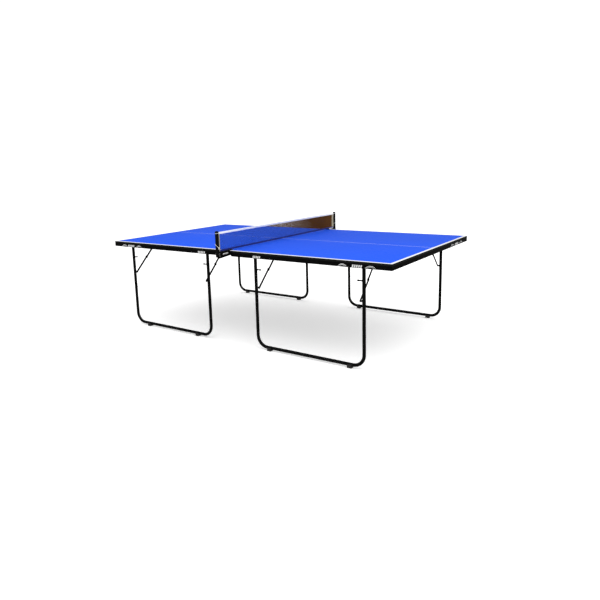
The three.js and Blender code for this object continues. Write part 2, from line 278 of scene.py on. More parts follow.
def zinc():
    paint = Paint("zinc_plate")
    cloudy = paint.noise(90, 5)
    streaks = paint.noise(600, 3, paint.stretched((0.15, 1, 1)))
    spots = paint.noise(420, 4).rises(0.62, 0.72)
    bright = paint.blend(cloudy, (0.42, 0.43, 0.45, 1), (0.60, 0.59, 0.55, 1))
    return paint.surface(
        Base_Color=paint.blend(spots, bright, (0.30, 0.29, 0.27, 1)),
        Metallic=1 - spots * 0.3,
        Roughness=0.28 + streaks * 0.16 + spots * 0.2,
        Normal=paint.bump(streaks, 0.00004, 0.6),
    )


def rubber(name, dark, light):
    paint = Paint(name)
    z = paint.axes()[2]
    grain = paint.noise(1500, 3)
    dust = paint.noise(160, 5).rises(0.45, 0.8) * z.falls(0.004, 0.03)
    return paint.surface(
        Base_Color=paint.blend(dust, paint.blend(grain, grey(dark), grey(light)), (0.11, 0.10, 0.09, 1)),
        Roughness=0.74 + grain * 0.12 + dust * 0.1,
        Specular_IOR_Level=0.35,
        Normal=paint.bump(grain, 0.00010, 0.7),
    )


def moulded_plastic():
    paint = Paint("moulded_plastic")
    spark = paint.noise(1900, 2)
    flow = paint.noise(26, 4, paint.stretched((1, 1, 0.2)))
    return paint.surface(
        Base_Color=paint.blend(flow, grey(0.002), grey(0.006)),
        Roughness=0.40 + flow * 0.14,
        Specular_IOR_Level=0.08,
        Normal=paint.bump(spark, 0.00007, 0.6),
    )


def woven_tape(name, shade, soiled, pitch=0.0011):
    """Plain-woven cotton: the threads along and across stand up in turns, with painted shade in the dips
    between them.
    """
    paint = Paint(name)
    y, z = paint.axes()[1:]
    wave = 2 * math.pi / pitch
    weave = (y * wave).sine() * (z * wave).sine()
    thread = paint.noise(1400, 3, paint.stretched((1, 0.3, 1)))
    soil = paint.noise(24, 5).rises(0.48, 0.78)
    # painted shade: where the weave dips, the tape's colour is darkened to 0.86 of itself
    weave_with_painted_shade = paint.blend(weave * 0.5 + 0.5, [0.86 * c for c in shade[:3]] + [1], shade)
    return paint.surface(
        Base_Color=paint.blend(soil * 0.5, weave_with_painted_shade, soiled),
        Roughness=0.86 + thread * 0.08,
        Sheen_Weight=0.15,
        Specular_IOR_Level=0.2,
        Normal=paint.bump(weave * 0.6 + thread * 0.5, 0.00025, 0.8),
    )


TWIST = 0.0024  # length of one turn of the net's cord


def net_cord(name, dark, pale, twist_highlight):
    """Dyed cord, with a painted highlight along the ridges of its twist."""
    paint = Paint(name)
    y, z = paint.axes()[1:]
    twist = ((y + z) * (2 * math.pi / TWIST)).sine()
    fuzz = paint.noise(2600, 3)
    faded = paint.blend(paint.noise(9, 4), dark, pale)
    return paint.surface(
        # painted highlight: the ridges of the twist are blended towards the third, lighter colour
        Base_Color=paint.blend(twist * 0.25 + 0.25, faded, twist_highlight),
        Roughness=0.82 + fuzz * 0.1,
        Specular_IOR_Level=0.1,
        Normal=paint.bump(twist * 0.6 + fuzz * 0.4, 0.00020, 0.8),
    )


def white_cord():
    paint = Paint("white_cord")
    fuzz = paint.noise(2400, 3)
    soil = paint.noise(120, 4).rises(0.45, 0.8)
    return paint.surface(
        Base_Color=paint.blend(soil, (0.80, 0.79, 0.74, 1), (0.55, 0.52, 0.45, 1)),
        Roughness=0.84 + fuzz * 0.1,
        Sheen_Weight=0.15,
        Normal=paint.bump(fuzz, 0.00015, 0.8),
    )


def printed_mark():
    """Pale ink with small misses where it has rubbed."""
    paint = Paint("printed_mark")
    rubbed = paint.noise(320, 5).rises(0.56, 0.70)
    return paint.surface(
        Base_Color=paint.blend(rubbed, grey(0.62), grey(0.16)),
        Roughness=0.50 + rubbed * 0.2,
        Normal=paint.bump(rubbed, -0.00005, 0.5),
    )


LACQUER = table_lacquer()
FRAME_COAT = powder_coat("frame_coat", 0.0015, 0.004, 0.44, 420)
LEG_COAT = leg_coat()
CLAMP_COAT = powder_coat("clamp_coat", 0.002, 0.006, 0.40, 700)
ZINC = zinc()
FOOT_RUBBER = rubber("foot_rubber", 0.010, 0.022)
PAD_RUBBER = rubber("pad_rubber", 0.014, 0.030)
PLASTIC = moulded_plastic()
WHITE_TAPE = woven_tape("white_tape", (0.88, 0.88, 0.86, 1), (0.62, 0.60, 0.55, 1))
CREAM_TAPE = woven_tape("cream_tape", (0.34, 0.31, 0.22, 1), (0.22, 0.19, 0.13, 1))
DARK_TAPE = woven_tape("dark_tape", (0.002, 0.009, 0.17, 1), (0.002, 0.007, 0.08, 1))
# the third colour of each cord is its painted highlight along the twist
NET_CORD = net_cord(
    "net_cord", (0.003, 0.006, 0.045, 1), (0.005, 0.010, 0.080, 1), (0.010, 0.018, 0.12, 1)
)
BROWN_CORD = net_cord(
    "brown_cord", (0.105, 0.040, 0.001, 1), (0.140, 0.052, 0.0015, 1), (0.17, 0.066, 0.002, 1)
)
WHITE_CORD = white_cord()
INK = printed_mark()


# ---------------------------------------------------------------- mesh tools
def tidied(bm):
    bmesh.ops.remove_doubles(bm, verts=bm.verts, dist=1e-6)
    bmesh.ops.recalc_face_normals(bm, faces=bm.faces)
    return bm


def bevelled(bm, edges, width, segments):
    bmesh.ops.bevel(
        bm, geom=edges, offset=width, segments=segments, profile=0.5, affect="EDGES",
        clamp_overlap=True, material=-1,
    )
    return bm


def eased(bm, width, segments=2, angle=30):
    """Rounds every edge whose faces meet at more than the angle."""
    sharp = math.radians(angle)
    edges = [e for e in bm.edges if len(e.link_faces) == 2 and e.calc_face_angle(0) > sharp]
    return bevelled(bm, edges, width, segments)


def thickened(bm, step):
    """A flat shape given its thickness towards the step's end."""
    made = bmesh.ops.extrude_face_region(bm, geom=list(bm.faces))
    lifted = [g for g in made["geom"] if isinstance(g, bmesh.types.BMVert)]
    bmesh.ops.translate(bm, vec=step, verts=lifted)
    bmesh.ops.recalc_face_normals(bm, faces=bm.faces)
    return bm


def block(low, high):
    bm = bmesh.new()
    low, high = Vector(low), Vector(high)
    corner_low = Vector(map(min, low, high))
    corner_high = Vector(map(max, low, high))
    bmesh.ops.create_cube(bm, size=1)
    bmesh.ops.scale(bm, vec=corner_high - corner_low, verts=bm.verts)
    bmesh.ops.translate(bm, vec=(corner_low + corner_high) / 2, verts=bm.verts)
    return bm


def turned(profile, steps=24):
    """A turned body about z, from (radius, height) points that start and end on the axis."""
    bm = bmesh.new()
    points = [bm.verts.new((radius, 0, height)) for radius, height in profile]
    lines = [bm.edges.new(pair) for pair in zip(points, points[1:])]
    bmesh.ops.spin(
        bm, geom=points + lines, cent=(0, 0, 0), axis=(0, 0, 1),
        angle=2 * math.pi, steps=steps, use_merge=True,
    )
    return tidied(bm)


def moved(bm, *matrices):
    for matrix in matrices:
        if not isinstance(matrix, Matrix):
            matrix = Matrix.Translation(matrix)
        bmesh.ops.transform(bm, matrix=matrix, verts=bm.verts)
    return bm


def mirrored_x(bm):
    bmesh.ops.scale(bm, vec=(-1, 1, 1), verts=bm.verts)
    bmesh.ops.reverse_faces(bm, faces=bm.faces)
    return bm


def repeated(part, places):
    """One body made of a copy of the part at each place."""
    mesh = bpy.data.meshes.new("part")
    part.to_mesh(mesh)
    part.free()
    whole = bmesh.new()
    for place in places:
        if not isinstance(place, Matrix):
            place = Matrix.Translation(place)
        mesh.transform(place)
        whole.from_mesh(mesh)
        mesh.transform(place.inverted())
    bpy.data.meshes.remove(mesh)
    return whole


def together(*parts):
    whole = bmesh.new()
    for part in parts:
        mesh = bpy.data.meshes.new("part")
        part.to_mesh(mesh)
        part.free()
        whole.from_mesh(mesh)
        bpy.data.meshes.remove(mesh)
    return whole


def hexagon(across, height, chamfer=0.0006):
    """A hexagon head or nut standing on z = 0, its corners turned off at the top."""
    bm = bmesh.new()
    radius = across / math.sqrt(3)
    bmesh.ops.create_cone(
        bm, cap_ends=True, segments=6, radius1=radius, radius2=radius, depth=height
    )
    bmesh.ops.translate(bm, vec=(0, 0, height / 2), verts=bm.verts)
    top = [e for e in bm.edges if all(v.co.z > height * 0.9 for v in e.verts)]
    return bevelled(bm, top, chamfer, 2)


def from_node(node, ease, segments=2, angle=30):
    """A copy of a frame piece with its edges rounded off."""
    bm = bmesh.new()
    bm.from_mesh(frame["nodes"][node].data)
    bmesh.ops.remove_doubles(bm, verts=bm.verts, dist=2e-6)
    bmesh.ops.dissolve_limit(
        bm, angle_limit=math.radians(1), verts=bm.verts, edges=bm.edges,
        use_dissolve_boundaries=False,
    )
    bmesh.ops.recalc_face_normals(bm, faces=bm.faces)
    return eased(bm, ease, segments, angle)


def piece(name, bm, body, paint, replaces=(), smooth=35):
    """A finished piece that moves with a body."""
    mesh = bpy.data.meshes.new(name)
    bm.to_mesh(mesh)
    bm.free()
    mesh.materials.append(paint.material)
    mesh.shade_smooth()
    mesh.set_sharp_from_angle(angle=math.radians(smooth))
    made = bpy.data.objects.new(name, mesh)
    scene.collection.objects.link(made)
    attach(made, body)
    if replaces:
        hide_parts(*replaces)
    return made


# ---------------------------------------------------------------- boards and frames
BOARD_EASE = 0.0008
BOARD_CORNER = 0.004
SHEET = 0.0024  # thickness of the steel under the board
FLANGE_MIDDLE = 0.012  # from a rail's outer face to the line of screws
SIDE_SCREWS = [0.07 + i * 0.245 for i in range(6)]
END_SCREWS = [-0.56 + i * 0.28 for i in range(5)]
STRAP_SCREWS = (-0.36, -0.12, 0.12, 0.36)
STRAP_SCREW_OFFSET = 0.020  # from the upright, clear of the folded tube
EAR_FACE = 0.0166  # an ear's outer face, from the upright's middle
TAB_FACE = 0.0372  # a stay tab's outer face, from the same
EAR_WELD = 0.018
TAB_WELD = 0.014


def board(turn):
    bm = block((seam_edge, -half_width, board_under), (half_length, half_width, table_top))
    corners = [
        e for e in bm.edges
        if all(v.co.x > half_length / 2 for v in e.verts) and e.verts[0].co.z != e.verts[1].co.z
    ]
    bevelled(bm, corners, BOARD_CORNER, 8)
    return moved(eased(bm, BOARD_EASE, 3, 40), turn)


def screw(head=0.0042, height=0.0024):
    """A washer-headed screw seen from below, its head hanging from z = 0."""
    skirt = turned([
        (0, 0), (head * 1.35, 0), (head * 1.35, -0.0006), (head, -0.0012), (0, -0.0012),
    ], 20)
    grip = moved(hexagon(head * 1.7, height), Matrix.Rotation(math.pi, 4, "X"))
    return together(skirt, grip)


def inward_from(upright):
    """Towards the middle of the right near leg, along x."""
    return 1 if upright < middle("right_near_leg").x else -1


def frame_screws():
    """Screws up through the flange and the cross straps into the board."""
    under = board_under - SHEET
    places = []
    for x in SIDE_SCREWS:
        places += [(x, side * (rail_face - FLANGE_MIDDLE), under) for side in (-1, 1)]
    for y in END_SCREWS:
        places += [(x, y, under) for x in (frame_low.x + FLANGE_MIDDLE, rail_end - FLANGE_MIDDLE)]
    for upright in UPRIGHTS:
        x = upright + inward_from(upright) * STRAP_SCREW_OFFSET
        places += [(x, y, under) for y in STRAP_SCREWS]
    return places


def curved_mark(length, height):
    """Two slim crescents, one over the other, in the plane y = 0."""
    bm = bmesh.new()
    for share, width in ((1.0, 0.11), (0.62, 0.09)):  # of the length, and of the height
        radius = length * share
        inner = bm.verts.new((-radius / 2, 0, 0))
        outer = bm.verts.new((-radius / 2 - height * width * 0.5, 0, height * width))
        rung = bm.edges.new((inner, outer))
        bmesh.ops.spin(
            bm, geom=[inner, outer, rung], cent=(0, 0, -radius * 0.85), axis=(0, 1, 0),
            angle=math.radians(61), steps=10, use_merge=False,
        )
    lowest = min(v.co.z for v in bm.verts)
    highest = max(v.co.z for v in bm.verts)
    for vert in bm.verts:
        vert.co.z = (vert.co.z - lowest) / (highest - lowest) * height
        vert.co.z += 0.25 * height * (vert.co.x / length)
    return bm


def barred_mark(length, height, bars=5):
    """A row of slanting bars in the plane y = 0."""
    bm = bmesh.new()
    pitch = length / bars
    for i in range(bars):
        left = -length / 2 + i * pitch
        low = [bm.verts.new((left + dx, 0, 0)) for dx in (0, pitch * 0.62)]
        high = [bm.verts.new((left + dx + height * 0.28, 0, height)) for dx in (pitch * 0.62, 0)]
        bm.faces.new(low + high)
    return bm


MARK_FILM = 0.0002
MARK_HEIGHT = 0.017
MARK_FOOT = frame_low.z + 0.004
# kind, middle and length of each mark along a rail
RIGHT_MARKS = [
    ("bars", 0.280, 0.074), ("curve", 1.008, 0.062), ("bars", 1.120, 0.078), ("curve", 1.217, 0.072),
]
LEFT_MARKS = [
    ("curve", -1.235, 0.066), ("bars", -1.145, 0.086), ("curve", -1.043, 0.062), ("bars", -0.283, 0.080),
]
END_MARKS = [("curve", 0.385, 0.078), ("bars", 0.490, 0.086), ("curve", 0.598, 0.074)]


def marks(drawn):
    """Films of ink on the plane y = 0, standing towards -y."""
    shapes = []
    for kind, at, length in drawn:
        shape = (curved_mark if kind == "curve" else barred_mark)(length, MARK_HEIGHT)
        shapes.append(moved(shape, (at, 0, MARK_FOOT)))
    return thickened(together(*shapes), (0, -MARK_FILM, 0))


def rail_marks():
    """The marks of the right half: near side, far side and end."""
    near = moved(marks(RIGHT_MARKS), (0, -rail_face, 0))
    far = moved(marks(LEFT_MARKS), (0, -rail_face, 0), HALF_TURN)
    end = moved(marks(END_MARKS), Matrix.Rotation(math.pi / 2, 4, "Z"), (rail_end, 0, 0))
    return together(near, far, end)


def weld_run(length, thickness=0.0016):
    """A straight fillet of weld along y, laid down in overlapping drops."""
    drops = max(3, round(length / (thickness * 1.5)))
    bm = bmesh.new()
    bmesh.ops.create_icosphere(bm, subdivisions=2, radius=thickness)
    pitch = length / drops
    return repeated(bm, [(0, (i + 0.5) * pitch - length / 2, 0) for i in range(drops)])


def frame_welds():
    """Runs of weld where the ears and the stay tabs stand on the cross straps."""
    under = board_under - SHEET - 0.0002
    runs = []
    for upright in UPRIGHTS:
        for row in (-1, 1):
            ears = row * hinge_side
            tab = pivots["right_near_outer_upper_stay_turn"].y * -row
            for offset, y, length in (
                (-EAR_FACE, ears, EAR_WELD), (EAR_FACE, ears, EAR_WELD), (TAB_FACE, tab, TAB_WELD),
            ):
                x = upright + inward_from(upright) * offset
                runs.append(moved(weld_run(length), (x, y, under)))
    return together(*runs)


def add_halves():
    for half in HALVES:
        turn = HALF_TURN if half == "left" else Matrix.Identity(4)
        body = f"{half}_half"
        piece(f"{half}_top", board(turn), body, LACQUER, [f"{half}_board"])
        rails = from_node(f"{half}_frame", 0.0005)
        piece(f"{half}_rails", rails, body, FRAME_COAT, [f"{half}_frame"])
        piece(f"{half}_frame_welds", moved(frame_welds(), turn), body, FRAME_COAT)
        screws = moved(repeated(screw(), frame_screws()), turn)
        piece(f"{half}_frame_screws", screws, body, ZINC)
        piece(f"{half}_rail_marks", moved(rail_marks(), turn), body, INK)


# ---------------------------------------------------------------- legs
BEND = 0.085
TUBE_TOP = 0.006  # above the hinge
TUBE_END_EASE = 0.0012
PEG_TIP = 0.050
PEG_HEIGHT = hinge_height - 0.103
RIB = 0.0024  # width of a foot's rib
RIB_PITCH = 0.008
RIB_PROUD = 0.0002
RIB_INSET = 0.004  # from the foot's top and bottom
rail_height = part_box("right_near_leg")[0].z + TUBE
pin_height = pivots["left_near_outer_lower_stay_turn"].z


def u_tube(left, right):
    """The bent tube of a leg in the plane y = 0, swept down, across and up again."""
    bm = bmesh.new()
    ring = bmesh.ops.create_circle(bm, segments=24, radius=TUBE)["verts"]
    bmesh.ops.translate(bm, vec=(left, 0, hinge_height + TUBE_TOP), verts=ring)
    bend_height = rail_height + BEND

    def straight(run, step):
        made = bmesh.ops.extrude_edge_only(bm, edges=run)["geom"]
        verts = [g for g in made if isinstance(g, bmesh.types.BMVert)]
        bmesh.ops.translate(bm, vec=step, verts=verts)
        return [
            g for g in made if isinstance(g, bmesh.types.BMEdge) and all(v in made for v in g.verts)
        ]

    def bent(run, centre):
        verts = list({v for e in run for v in e.verts})
        made = bmesh.ops.spin(
            bm, geom=verts + run, cent=centre, axis=(0, -1, 0), angle=math.pi / 2, steps=14
        )["geom_last"]
        return [g for g in made if isinstance(g, bmesh.types.BMEdge)]

    run = list({e for v in ring for e in v.link_edges})
    run = straight(run, (0, 0, bend_height - hinge_height - TUBE_TOP))
    run = bent(run, (left + BEND, 0, bend_height))
    run = straight(run, (right - left - 2 * BEND, 0, 0))
    run = bent(run, (right - BEND, 0, bend_height))
    straight(run, (0, 0, hinge_height + TUBE_TOP - bend_height))
    bmesh.ops.holes_fill(bm, edges=[e for e in bm.edges if e.is_boundary], sides=0)
    return eased(tidied(bm), TUBE_END_EASE, 2, 60)


def peg():
    """Rod and soft cap of a folded-leg peg, along x from the tube's middle."""
    rod = turned([
        (0, 0.010), (0.0072, 0.0105), (0.0072, 0.0125), (0.0058, 0.0138), (0.0047, 0.0146),
        (0.0047, 0.0365), (0, 0.0365),
    ])
    cap = turned([
        (0, 0.0358), (0.0053, 0.0360), (0.0060, 0.0366), (0.0062, 0.0380), (0.0055, 0.0388),
        (0.0055, 0.0396), (0.0063, 0.0406), (0.0063, 0.0455), (0.0057, 0.0480), (0.0041, 0.0494),
        (0.0018, 0.04995), (0, PEG_TIP),
    ])
    return moved(together(rod, cap), AXIS_TO_X)


def stay_pin():
    """Collar and pin that the lower stay turns on, along x from the tube's middle."""
    return moved(turned([
        (0, 0.010), (0.0095, 0.0098), (0.0093, 0.0126), (0.0082, 0.0136), (0.0072, 0.0146),
        (0.0070, 0.0158), (0.0070, 0.0258), (0.0062, 0.0266), (0.0040, 0.0267), (0.0040, 0.0292),
        (0.0036, 0.0295), (0, 0.0295),
    ]), AXIS_TO_X)


def rest_stub(length):
    """The small rod that a folded stay rests on, along x from the tube's middle."""
    return moved(turned([
        (0, 0.0122), (0.0046, 0.0122), (0.0044, 0.0132), (0.0030, 0.0142), (0.0030, length - 0.0007),
        (0.0023, length), (0, length),
    ], 20), AXIS_TO_X)


def leg(half, row):
    """A leg with what is welded to it. Pegs and pins point to the inside of the U."""
    uprights = sorted(upright_of(f"{half}_{row}_{place}") for place in PLACES)
    parts = [u_tube(*uprights)]
    for upright, inward in zip(uprights, (1, -1)):
        for shape, height in ((peg(), PEG_HEIGHT), (stay_pin(), pin_height)):
            parts.append(moved(shape if inward > 0 else mirrored_x(shape), (upright, 0, height)))
    side = -hinge_side if row == "near" else hinge_side
    return moved(together(*parts), (0, side, 0))


def foot(node):
    """Moulded glide: the clip over the rail, its grooved sole, and three ribs on each flank."""
    low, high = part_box(node)
    clip = from_node(node, 0.0011, 3, 50)
    ribs = []
    for side in (low.y, high.y):
        for step in (-RIB_PITCH, 0, RIB_PITCH):
            x = middle(node).x + step
            rib = block(
                (x - RIB / 2, side - RIB_PROUD, low.z + RIB_INSET),
                (x + RIB / 2, side + RIB_PROUD, high.z - RIB_INSET),
            )
            ribs.append(eased(rib, 0.00015))
    return together(clip, *ribs)


def add_stay_rest():
    node = "left_near_rest_stub"
    upright = upright_of("left_near_outer")
    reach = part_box(node)[1].x - upright
    stub = moved(rest_stub(reach), (upright, -hinge_side, middle(node).z))
    piece("left_near_stay_rest", stub, "left_near_leg", LEG_COAT, [node])


def add_legs():
    add_stay_rest()
    for half in HALVES:
        for row in ROWS:
            name = f"{half}_{row}_leg"
            piece(f"{half}_{row}_u_leg", leg(half, row), name, LEG_COAT, [name])
            for place in PLACES:
                node = f"{half}_{row}_{place}_foot"
                piece(f"{node}_glide", foot(node), name, FOOT_RUBBER, [node])


# ---------------------------------------------------------------- stays and their bolts
STAY_WIDTH = 0.018
STAY_THICKNESS = 0.003
KNUCKLE = 0.0125  # radius of the disc at a link's far end
DISC_PROUD = 0.0001
PIN = 0.0040
PIN_PLAY = 0.0003
RIVET_HEIGHT = 0.004


def stay_plate(length):
    """A flat link along +y from its pin hole at the origin, with a disc at its far end."""
    bm = bmesh.new()
    steps = 32
    turn = Matrix.Rotation(math.pi / 2, 4, "Y")
    rim = bmesh.ops.create_circle(bm, segments=steps, radius=STAY_WIDTH / 2, matrix=turn)["verts"]
    far = [v for v in rim if v.co.y > 1e-5]
    hole = bmesh.ops.create_circle(bm, segments=steps, radius=PIN + PIN_PLAY, matrix=turn)["verts"]
    bmesh.ops.translate(bm, vec=(0, length, 0), verts=far)
    loops = list({e for v in list(rim) + list(hole) for e in v.link_edges})
    bmesh.ops.bridge_loops(bm, edges=loops)
    tidied(thickened(bm, (STAY_THICKNESS, 0, 0)))
    back, front = -DISC_PROUD, STAY_THICKNESS + DISC_PROUD
    disc = turned([
        (0, back), (KNUCKLE - 0.0005, back), (KNUCKLE, back + 0.0005), (KNUCKLE, front - 0.0005),
        (KNUCKLE - 0.0005, front), (0, front),
    ], 40)
    return together(eased(bm, 0.0005, 2, 60), moved(disc, AXIS_TO_X, (0, length, 0)))


def rivet(height, radius=0.0065):
    """Domed rivet head standing on x = 0 towards +x."""
    return moved(turned([
        (0, -0.001), (radius * 0.98, -0.001), (radius, 0.0002), (radius * 0.93, height * 0.45),
        (radius * 0.72, height * 0.80), (radius * 0.38, height * 0.97), (0, height),
    ]), AXIS_TO_X)


def add_stays():
    """Each link is drawn as on a near leg, standing on x = 0 with its rivet towards +x."""
    for half in HALVES:
        for row in ROWS:
            row_turn = Matrix.Identity(4) if row == "near" else HALF_TURN
            for place in PLACES:
                stem = f"{half}_{row}_{place}"
                spots = {part: pivots[f"{stem}_{part}_stay_turn"] for part in ("upper", "lower")}
                reach = math.dist(spots["upper"].yz, spots["lower"].yz) / 2
                upper_side = middle(f"{stem}_upper_stay").x - middle(f"{stem}_lower_stay").x
                inward = math.copysign(1, upper_side)
                for part, angle, outward in (("lower", 45, -inward), ("upper", 225, inward)):
                    node = f"{stem}_{part}_stay"
                    low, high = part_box(node)
                    head = moved(rivet(RIVET_HEIGHT), (STAY_THICKNESS, reach, 0))
                    link = together(stay_plate(reach), head)
                    if (outward if row == "near" else -outward) < 0:
                        mirrored_x(link)
                    foot_plane = low.x if outward > 0 else high.x
                    turn = Matrix.Rotation(math.radians(angle), 4, "X")
                    moved(link, turn, row_turn, (foot_plane, spots[part].y, spots[part].z))
                    piece(f"{node}_link", link, node, LEG_COAT, [node])


def pivot_bolt(stem):
    """Hexagon bolt with washers and nut through the ears; the nut is on the inside of the U."""
    low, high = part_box(f"{stem}_pivot_bolt")
    face = 0.0163  # the ear's outer face, from the upright's middle
    thin = 0.0004  # thickness of a washer
    head = moved(hexagon(0.013, 0.0046, 0.0009), (0, 0, face + thin))
    washer = turned([
        (0, face - 0.0003), (0.0076, face - 0.0003), (0.0079, face), (0.0079, face + thin),
        (0.0072, face + 0.0006), (0, face + 0.0006),
    ])
    flip = Matrix.Rotation(math.pi, 4, "Y")
    headed = moved(together(head, washer), flip)
    nut = moved(hexagon(0.013, 0.0056, 0.0009), (0, 0, face + thin))
    point = turned([
        (0, face), (0.0037, face), (0.0037, face + 0.0060), (0.0030, face + 0.0065),
        (0, face + 0.0065),
    ])
    collar = turned([
        (0, face - 0.0003), (0.0070, face - 0.0003), (0.0072, face), (0.0068, face + thin),
        (0, face + thin),
    ])
    shank = turned([(0, -face), (PIN, -face), (PIN, face), (0, face)])
    upright = upright_of(stem)
    turn = AXIS_TO_X if high.x - upright > upright - low.x else AXIS_TO_X @ flip
    centre = low.lerp(high, 0.5)
    return moved(together(headed, nut, point, collar, shank), turn, (upright, centre.y, centre.z))


def add_pivot_bolts():
    for half in HALVES:
        for row in ROWS:
            for place in PLACES:
                stem = f"{half}_{row}_{place}"
                node = f"{stem}_pivot_bolt"
                piece(f"{node}_set", pivot_bolt(stem), f"{half}_half", ZINC, [node])


def add_dowels():
    r, rim = 0.005, 0.009  # radii of the pin and of its collar
    for row in ROWS:
        node = f"{row}_dowel"
        low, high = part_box(node)
        reach = (high.x - low.x) / 2
        profile = [
            (0, -reach), (r * 0.55, -reach), (r, -reach + 0.003), (r, -0.0297),
            (rim - 0.0004, -0.0297), (rim, -0.0293), (rim, -0.0254), (rim - 0.0004, -0.0250),
            (r, -0.0250), (r, reach - 0.006), (r * 0.72, reach - 0.001), (r * 0.5, reach), (0, reach),
        ]
        pin = moved(turned(profile), AXIS_TO_X, middle(node))
        piece(f"{node}_pin", pin, "left_half", ZINC, [node])


# ---------------------------------------------------------------- net
NET_CORD_RADIUS = 0.0007
NET_PITCH = 0.0072
KNOT = 0.0013
# the brown inner layer hangs from the tape; its hem slants from its start to the far end
LAYER_PITCH = 0.0014
LAYER_START = -0.268
LAYER_SLOPE = -0.1333
LAYER_TUCK = 0.002  # the least that a strand hangs down
LAYER_STAGGER = 0.0005
TAPE_WALL = 0.0006
BAND_WIDTH = 0.013
NEAR_SIDE_TAPE = 0.012
FAR_SIDE_TAPE = 0.032
SIDE_TAPE_BULGE = 0.0018

net_low, net_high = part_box("net_mesh")
tape_low, tape_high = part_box("net_top_tape")


def strand_places(start, pitch):
    """Where upright strands stand, from a place along the net to its far end."""
    return [start + i * pitch for i in range(1 + int((net_high.y - start) / pitch))]


def cylinder(radius, length, sides=6):
    """A rod about z, standing on z = 0."""
    bm = bmesh.new()
    bmesh.ops.create_cone(
        bm, cap_ends=True, segments=sides, radius1=radius, radius2=radius, depth=length
    )
    bmesh.ops.translate(bm, vec=(0, 0, length / 2), verts=bm.verts)
    return bm


def net_lattice():
    """Knotted cords, upright and level, on a square pitch."""
    height = net_high.z - net_low.z
    rows = [NET_PITCH * (i + 0.6) for i in range(int(height / NET_PITCH))]
    knot = bmesh.new()
    bmesh.ops.create_icosphere(knot, subdivisions=1, radius=KNOT)
    upright = together(cylinder(NET_CORD_RADIUS, height), repeated(knot, [(0, 0, z) for z in rows]))
    uprights = repeated(upright, [(0, y, net_low.z) for y in strand_places(net_low.y, NET_PITCH)])
    lay = Matrix.Rotation(-math.pi / 2, 4, "X")
    level = moved(cylinder(NET_CORD_RADIUS, net_high.y - net_low.y), lay)
    levels = repeated(level, [(0, net_low.y, net_low.z + z) for z in rows])
    return together(uprights, levels)


def layer_fall(y):
    """How far the brown layer hangs down at a place along the net."""
    return min(net_high.z - net_low.z, LAYER_TUCK + (LAYER_START - y) * LAYER_SLOPE)


def brown_layer():
    """Close strands in two staggered rows, each cut off at the hem."""
    places = []
    for i, y in enumerate(strand_places(LAYER_START, LAYER_PITCH)):
        fall = layer_fall(y)
        stand = Matrix.Translation((LAYER_STAGGER * (1 - 2 * (i % 2)), y, net_high.z - fall))
        places.append(stand @ Matrix.Diagonal((1, 1, fall, 1)))
    return repeated(cylinder(NET_CORD_RADIUS, 1), places)


def folded_tape(length, width, bulge, wall, steps):
    """A rippled tape folded along y: its fold is at the origin, its edges hang at -width."""
    bm = bmesh.new()
    pinch = bulge * 0.45
    side = [(-pinch, -width), (-bulge * 0.8, -width * 0.78), (-bulge, -width * 0.5), (-bulge, -bulge)]
    arc = [math.pi - i * math.pi / 6 for i in range(1, 6)]
    over = [(bulge * math.cos(a), bulge * (math.sin(a) - 1)) for a in arc]
    outline = side + over + [(-x, z) for x, z in reversed(side)]
    points = [bm.verts.new((x, 0, z)) for x, z in outline]
    lines = [bm.edges.new(pair) for pair in zip(points, points[1:])]
    bmesh.ops.spin(
        bm, geom=points + lines, cent=(0, 0, 0), axis=(0, 1, 0), dvec=(0, length / steps, 0),
        angle=0, steps=steps, use_merge=False,
    )
    # the fold wavers a little, and the free edges ripple more
    for vert in bm.verts:
        y, low = vert.co.y, -vert.co.z / width
        vert.co.x *= 1 + 0.10 * math.sin(y * 190) * low
        vert.co.x += 0.00025 * math.sin(y * 61 + 1.3)
        vert.co.z += 0.00035 * (math.sin(y * 83) + math.sin(y * 37 + 2)) * low
    bmesh.ops.recalc_face_normals(bm, faces=bm.faces)
    bmesh.ops.solidify(bm, geom=list(bm.faces), thickness=wall)
    bmesh.ops.translate(bm, vec=(0, -length / 2, 0), verts=bm.verts)
    bmesh.ops.recalc_face_normals(bm, faces=bm.faces)
    return bm


def stitches(length, depth, reach, pitch=0.0042):
    """Two rows of stitches along y, one on each face of a folded tape."""
    stitch = moved(cylinder(0.00032, pitch * 0.66, 5), Matrix.Rotation(-math.pi / 2, 4, "X"))
    count = int(length / pitch)
    along = [(i + 0.17) * pitch - length / 2 for i in range(count)]
    return repeated(stitch, [(side * reach, y, -depth) for side in (-1, 1) for y in along])


def add_side_tape(row, end, quarter, width):
    height = net_high.z - net_low.z
    middle_height = (net_low.z + net_high.z) / 2
    stand = Matrix.Rotation(quarter * math.pi / 2, 4, "X")
    strip = folded_tape(height, width, SIDE_TAPE_BULGE, TAPE_WALL, 24)
    moved(strip, stand, (0, end, middle_height))
    side = piece(f"{row}_net_side_tape", strip, "left_half", CREAM_TAPE)
    seam = stitches(height - 0.006, width - 0.003, SIDE_TAPE_BULGE)
    moved(seam, stand, (0, end, middle_height))
    thread = piece(f"{row}_net_side_stitches", seam, "left_half", WHITE_CORD)


